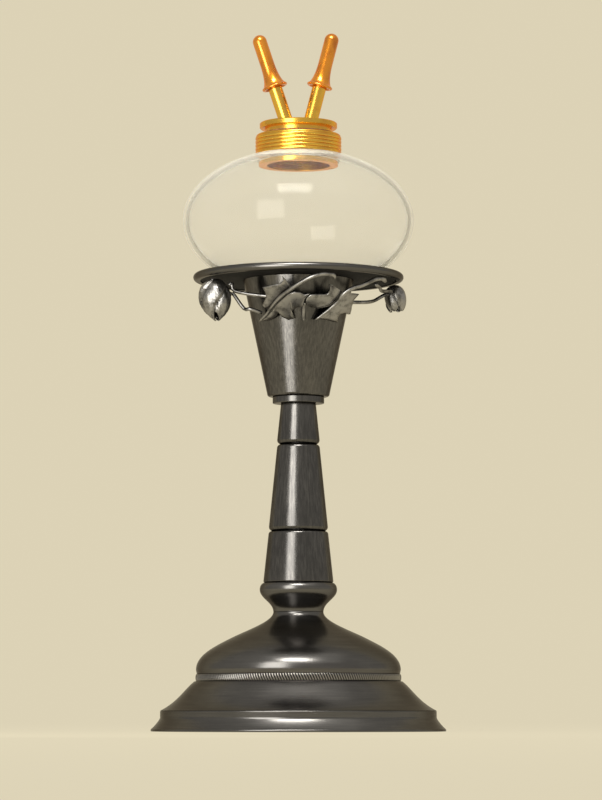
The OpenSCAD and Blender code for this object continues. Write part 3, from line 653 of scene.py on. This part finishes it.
class LAMP_OT_socket(LampOperator):
    """Make the tapered socket and the tray with its rolled rim"""

    bl_idname = "lamp.socket"
    bl_label = "Socket and tray"

    def make(self, context):
        bore = context.scene.lamp_shape.rod_bore / MM
        z, top = low("socket_cup"), high("socket_cup")
        foot, mouth, wall, bend = 13.5, reach("socket_cup"), 2.5, 1.2
        slope = (mouth - foot) / (top - z)
        lathe("socket_cup", np.vstack([
            arc([foot - bend + slope * bend, z + bend], bend, bend, -90, 0, 12),
            [[mouth, top], [mouth - wall, top], [foot + slope * wall - wall, z + wall]],
            [[bore, z + wall], [bore, z]]]),
            "dark_metal", "dark_metal", edge=0.2)
        rim, plate = reach("tray_rim"), reach("tray_plate")
        rim_low, rim_high = low("tray_rim"), high("tray_rim")
        half, middle = (rim_high - rim_low) / 2, (rim_high + rim_low) / 2
        lathe("tray_rim", np.vstack([
            [[plate + 0.05, rim_low]], arc([rim - half, middle], half, half, -90, 90, 28),
            [[plate + 0.05, rim_high]]]), "turned_metal", "dark_metal", edge=0.15)
        peg = 11.05
        # The tray's plate, seen from below, gets the near-black finish of painted shade.
        lathe("tray_plate", np.array([[peg, low("tray_plate")], [plate, low("tray_plate")],
                                      [plate, high("tray_plate")], [peg, high("tray_plate")]]),
              "underside_shade_metal", "dark_metal", edge=0.1)


class LAMP_OT_font(LampOperator):
    """Make the blown glass font with its solid peg"""

    bl_idname = "lamp.font"
    bl_label = "Glass font"

    def make(self, context):
        wall = context.scene.lamp_shape.glass_wall / MM
        r, bottom, lip = reach("glass_font"), low("glass_font"), high("glass_font")
        seat, belly, fall, rise = high("tray_plate"), high("tray_plate") + 24.6, 32.1, 31.6
        mouth, peg, bevel = 18.2, 11.0, 1.0
        floor = seat + wall + 0.4
        low_angle = math.degrees(math.asin((belly - seat) / fall))
        high_angle = math.degrees(math.asin((lip - belly) / rise))
        in_low = math.degrees(math.asin((belly - floor) / (fall - wall)))
        in_high = math.degrees(math.acos(mouth / (r - wall)))
        outline = np.vstack([
            [[0, bottom], [peg - bevel, bottom], [peg, bottom + bevel], [peg, seat]],
            arc([0, belly], r, fall, -low_angle, 0, 48), arc([0, belly], r, rise, 0, high_angle, 48)[1:],
            [[mouth, lip]], arc([0, belly], r - wall, rise - wall, in_high, 0, 44),
            arc([0, belly], r - wall, fall - wall, 0, -in_low, 44)[1:], [[0, floor]]])
        grid = turned(outline, 240)
        mesh = skin("glass_font_blown", grid, closed=False)
        dress("glass_font_blown", mesh, "glass", "glass", "stand", "glass_font")


class LAMP_OT_burner(LampOperator):
    """Make the reeded collar, and finish the burner plate and its tubes"""

    bl_idname = "lamp.burner"
    bl_label = "Collar and burner"

    def make(self, context):
        r, bottom, top = reach("collar"), low("collar"), high("collar")
        lip = high("glass_font")
        sleeve, bore, groove, head = 17.6, 13.95, 0.42, 1.0
        reeds = 5
        reed = (top - lip - head) / reeds
        bands = [arc([r - groove, lip + (k + 0.5) * reed], groove, reed / 2 - 0.06, -90, 90, 12)
                 for k in range(reeds)]
        lathe("collar", np.vstack([
            [[bore, bottom], [sleeve, bottom], [sleeve, lip]], *bands,
            arc([r - 1.2, top - head], 0.9, head, 0, 90, 10), [[bore, top]]]), "brass", "brass",
            edge=context.scene.lamp_shape.brass_edge / MM)
        repaint("brass", "burner_plate", "left_wick_tube", "right_wick_tube")
        repaint("leather", "burner_washer")


def leaning(side, outline, facets=96):
    """Grid of an outline turned about a wick tube's axis. The outline's heights are counted along that axis
    from the top of the flange."""
    axis = np.array(next(j["axis"] for j in frame["joints"] if j["name"] == f"{side}_cap_lift"), float)
    axis /= np.linalg.norm(axis)
    across = np.array([axis[2], 0, -axis[0]])
    a = np.linspace(0, 2 * math.pi, facets, endpoint=False)[:, None, None]
    offset = 5.15 * (-1 if side == "left" else 1)
    foot = np.array([offset, 0, high("burner_plate")])
    r, z = outline[None, :, :1], outline[None, :, 1:]
    return (foot + r * (across * np.cos(a) + np.array([0, 1.0, 0]) * np.sin(a)) + z * axis) * MM


class LAMP_OT_caps(LampOperator):
    """Make the two flared snuffer caps"""

    bl_idname = "lamp.caps"
    bl_label = "Snuffer caps"

    def make(self, context):
        start, long, mouth, body, wall, lip = 16.5, 24.9, 5.7, 3.15, 0.45, 0.65
        flare, end = start + 10.5, start + long - body
        inner = body - wall
        outline = np.vstack([
            [[mouth - 2 * lip, start]], arc([mouth - lip, start + lip], lip, lip, -90, 70, 16),
            bow([mouth - 0.5, start + 2 * lip], [-1.2, 1], [0.1, -4.725], [body, flare], 36),
            arc([0, end], body, body, 0, 90, 26)[1:], arc([0, end], inner, inner, 90, 0, 20),
            bow([inner, flare], [0.05, -5.25], [-0.6, 1.4], [mouth - 2 * lip, start], 30)[1:]])
        for side in ("left", "right"):
            mesh = skin(f"{side}_cap_spun", leaning(side, outline), closed=False)
            dress(f"{side}_cap_spun", mesh, "cap_brass", "cap_brass", f"{side}_cap", f"{side}_cap")


class LAMP_OT_wicks(LampOperator):
    """Make the two braided wicks"""

    bl_idname = "lamp.wicks"
    bl_label = "Wicks"

    def make(self, context):
        r, bottom, top, facets = 1.75, -7.0, 26.0, 48
        z = np.linspace(bottom, top, 150)
        a = np.linspace(0, 2 * math.pi, facets, endpoint=False)[:, None]
        pitch = 3.2
        for side in ("left", "right"):
            flat = leaning(side, np.column_stack([np.full_like(z, r), z]), facets)
            axis = leaning(side, np.column_stack([np.zeros_like(z), z]), facets)
            turn = 2 * math.pi * z[None] / pitch
            braid = np.maximum(np.cos(4 * a + turn), np.cos(4 * a - turn))
            ends = np.minimum(1, np.minimum(z - bottom, top - z) / 0.6)[None] ** 0.5
            share = (0.93 + 0.07 * np.clip(braid, -0.4, 1)) * ends
            mesh = skin(f"{side}_wick_braided", axis + (flat - axis) * share[..., None], closed=False)
            dress(f"{side}_wick_braided", mesh, "cotton", "cotton", f"{side}_wick", f"{side}_wick")


class LAMP_OT_inner(LampOperator):
    """Finish the pieces inside the stand"""

    bl_idname = "lamp.inner"
    bl_label = "Inner pieces"

    def make(self, context):
        repaint("iron", "tie_rod", "rod_top_washer", "rod_top_nut", "rod_bottom_washer", "rod_bottom_nut")
        repaint("plaster", "peg_cement", "collar_cement")


def joined(node):
    """A node's solid with its loose faces joined."""
    shape = bmesh.new()
    shape.from_mesh(frame["nodes"][node].data)
    bmesh.ops.remove_doubles(shape, verts=shape.verts, dist=0.00002)
    return shape


def dress_copy(node, shape):
    """Puts a finer copy of a leafy node in its place, shaded smooth except over its sharp edges."""
    mesh = bpy.data.meshes.new(node + "_smoothed")
    shape.to_mesh(mesh)
    shape.free()
    mesh.materials.clear()
    mesh.shade_smooth()
    mesh.set_sharp_from_angle(angle=math.radians(50))
    return dress(node + "_smoothed", mesh, "leaf_metal", "leaf_metal", "stand", node)


class LAMP_OT_wreath(LampOperator):
    """Make the vines, leaves and stalks under the tray"""

    bl_idname = "lamp.wreath"
    bl_label = "Wreath"

    def make(self, context):
        for node in frame["nodes"]:
            if "vine" in node or "leaf" in node or "stalk" in node:
                dress_copy(node, joined(node))


class LAMP_OT_buds(LampOperator):
    """Make the two hanging buds, each wrapped in petals that overlap in a spiral"""

    bl_idname = "lamp.buds"
    bl_label = "Buds"

    def wrapped(self, node, petals, first, twist, step, fall):
        """A finer copy of a bud's solid, drawn in beside each petal's edge. With u the arc from the last edge
        to a point, the skin goes in by step * exp(-u / fall), and by less towards the bud's two ends."""
        shape = joined(node)
        bmesh.ops.subdivide_edges(shape, edges=shape.edges, cuts=3, use_grid_fill=True)
        mesh = dress_copy(node, shape).data
        place = np.empty(3 * len(mesh.vertices))
        mesh.vertices.foreach_get("co", place)
        place = place.reshape(-1, 3)
        bottom, top = (np.array(corner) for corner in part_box(node))
        out = place - (bottom + top) / 2
        t = (top[2] - place[:, 2]) / (top[2] - bottom[2])
        r = np.maximum(np.hypot(out[:, 0], out[:, 1]), 1e-6)
        angle = np.arctan2(out[:, 0], -out[:, 1])
        u = np.mod(angle - math.radians(first) - math.radians(twist) * t, 2 * math.pi / petals) * r
        inward = step * MM * np.exp(-u / (fall * MM)) * np.clip(4 * t * (1 - t), 0, 1) ** 0.5
        place[:, :2] -= out[:, :2] * (np.minimum(inward, 0.4 * r) / r)[:, None]
        mesh.vertices.foreach_set("co", place.ravel())
        mesh.update()

    def make(self, context):
        self.wrapped("left_bud", 4, 71, -105, 2.3, 2.2)
        self.wrapped("right_bud", 3, -50, 85, 1.6, 1.5)


def aimed(name, where, target, power, width, height, tint):
    """A rectangular soft box that faces a point."""
    light = bpy.data.lights.new(name, "AREA")
    light.shape = "RECTANGLE"
    light.size, light.size_y, light.energy, light.color = width, height, power, tint
    box = bpy.data.objects.new(name, light)
    bpy.context.scene.collection.objects.link(box)
    box.location = where
    way = np.array(target) - np.array(where)
    box.rotation_euler = (math.acos(-way[2] / np.linalg.norm(way)), 0, math.atan2(-way[0], way[1]))
    box.visible_camera = False
    return box


class LAMP_OT_stage(LampOperator):
    """Make the camera, the lights and the plain sweep behind the lamp"""

    bl_idname = "lamp.stage"
    bl_label = "Stage"

    def make(self, context):
        stage = context.scene.lamp_stage
        scene = context.scene
        scene.view_settings.view_transform = "Standard"
        camera = bpy.data.objects.new("camera", bpy.data.cameras.new("camera"))
        scene.collection.objects.link(camera)
        camera.location = (0.00114, -stage.distance, stage.eye)
        camera.rotation_euler = (math.pi / 2 + stage.tilt, 0, 0)
        camera.data.lens = stage.lens
        camera.data.sensor_width = 36
        camera.data.clip_start, camera.data.clip_end = 0.05, 40
        scene.camera = camera
        self.sweep()
        self.lights(stage)

    def sweep(self):
        """Floor, cove and wall in one sheet: a straight floor, a quarter circle and a straight wall."""
        depth, cove, wall, half = 1.6, 1.0, 4.0, 5.0
        a = np.radians(np.linspace(-90, 0, 40))
        line = np.vstack([[[-4.0, 0]], np.column_stack([depth + cove * np.cos(a), cove + cove * np.sin(a)]),
                          [[depth + cove, wall]]])
        x = np.linspace(-half, half, 3)[:, None]
        grid = np.stack([x + 0 * line[None, :, 0], line[None, :, 0] + 0 * x, line[None, :, 1] + 0 * x], -1)
        mesh = skin("backdrop", grid, around=False, closed=False)
        paint = Paint("Pale backdrop", roughness=0.95, specular_ior_level=0.0, emission_strength=0.925)
        fibre = paint.noise(60, detail=4.0)
        tone = colours()["backdrop"]
        shaded = tuple(0.06 * x for x in tone)
        paint.set("Base Color", paint.mix(fibre * 0.2, shaded, tuple(0.9 * x for x in shaded)))
        paint.set("Emission Color", (*tone, 1))
        mesh.materials.append(paint.material)
        backdrop = bpy.data.objects.new("backdrop", mesh)
        bpy.context.scene.collection.objects.link(backdrop)

    def lights(self, stage):
        """A tall strip for the upright highlights, a high box for the dome, and a wide overhead box."""
        warm = (1.0, 0.97, 0.9)
        a = math.radians(-27)
        far = 0.42
        place = (far * math.sin(a), -far * math.cos(a), 0.23)
        aimed("strip_light", place, (0, 0, 0.23), stage.strip_power, 0.2, 0.32, warm)
        a = math.radians(-5)
        far, up = 0.62, 1.02
        place = (far * math.sin(a), -far * math.cos(a), up)
        aimed("key_light", place, (0, 0, 0.05), stage.key_power, 0.5, 0.35, warm)
        aimed("fill_light", (0.3, -0.8, 2.2), (0, 0, 0.1), stage.fill_power, 2.4, 2.4, warm)
        world = bpy.data.worlds.new("even_light")
        bpy.context.scene.world = world
        world.use_nodes = True
        ground = world.node_tree.nodes["Background"]
        ground.inputs["Color"].default_value = (1.0, 0.95, 0.84, 1)
        ground.inputs["Strength"].default_value = stage.ambient


class LAMP_PT_panel(bpy.types.Panel):
    """Lists the lamp's operators and settings."""

    bl_label = "Camphene lamp"
    bl_space_type = "VIEW_3D"
    bl_region_type = "UI"
    bl_category = "Lamp"

    def draw(self, context):
        for operator in OPERATORS:
            self.layout.operator(operator.bl_idname)
        for group in (context.scene.lamp_shape, context.scene.lamp_colours, context.scene.lamp_stage):
            for name in group.__annotations__:
                self.layout.prop(group, name)


OPERATORS = (
    LAMP_OT_stage,
    LAMP_OT_foot,
    LAMP_OT_rope,
    LAMP_OT_dome,
    LAMP_OT_stem,
    LAMP_OT_socket,
    LAMP_OT_wreath,
    LAMP_OT_buds,
    LAMP_OT_font,
    LAMP_OT_burner,
    LAMP_OT_caps,
    LAMP_OT_wicks,
    LAMP_OT_inner,
)
GROUPS = {"lamp_shape": LampShape, "lamp_colours": LampColours, "lamp_stage": LampStage}


def register():
    """Registers the settings, the operators and the panel."""
    for name, group in GROUPS.items():
        bpy.utils.register_class(group)
        setattr(bpy.types.Scene, name, PointerProperty(type=group))
    for made in (*OPERATORS, LAMP_PT_panel):
        bpy.utils.register_class(made)


def unregister():
    """Takes back what register did."""
    for made in (*OPERATORS, LAMP_PT_panel):
        bpy.utils.unregister_class(made)
    for name, group in GROUPS.items():
        delattr(bpy.types.Scene, name)
        bpy.utils.unregister_class(group)


def main():
    register()
    for operator in OPERATORS:
        group, name = operator.bl_idname.split(".")
        getattr(getattr(bpy.ops, group), name)()


if __name__ == "__main__":
    main()
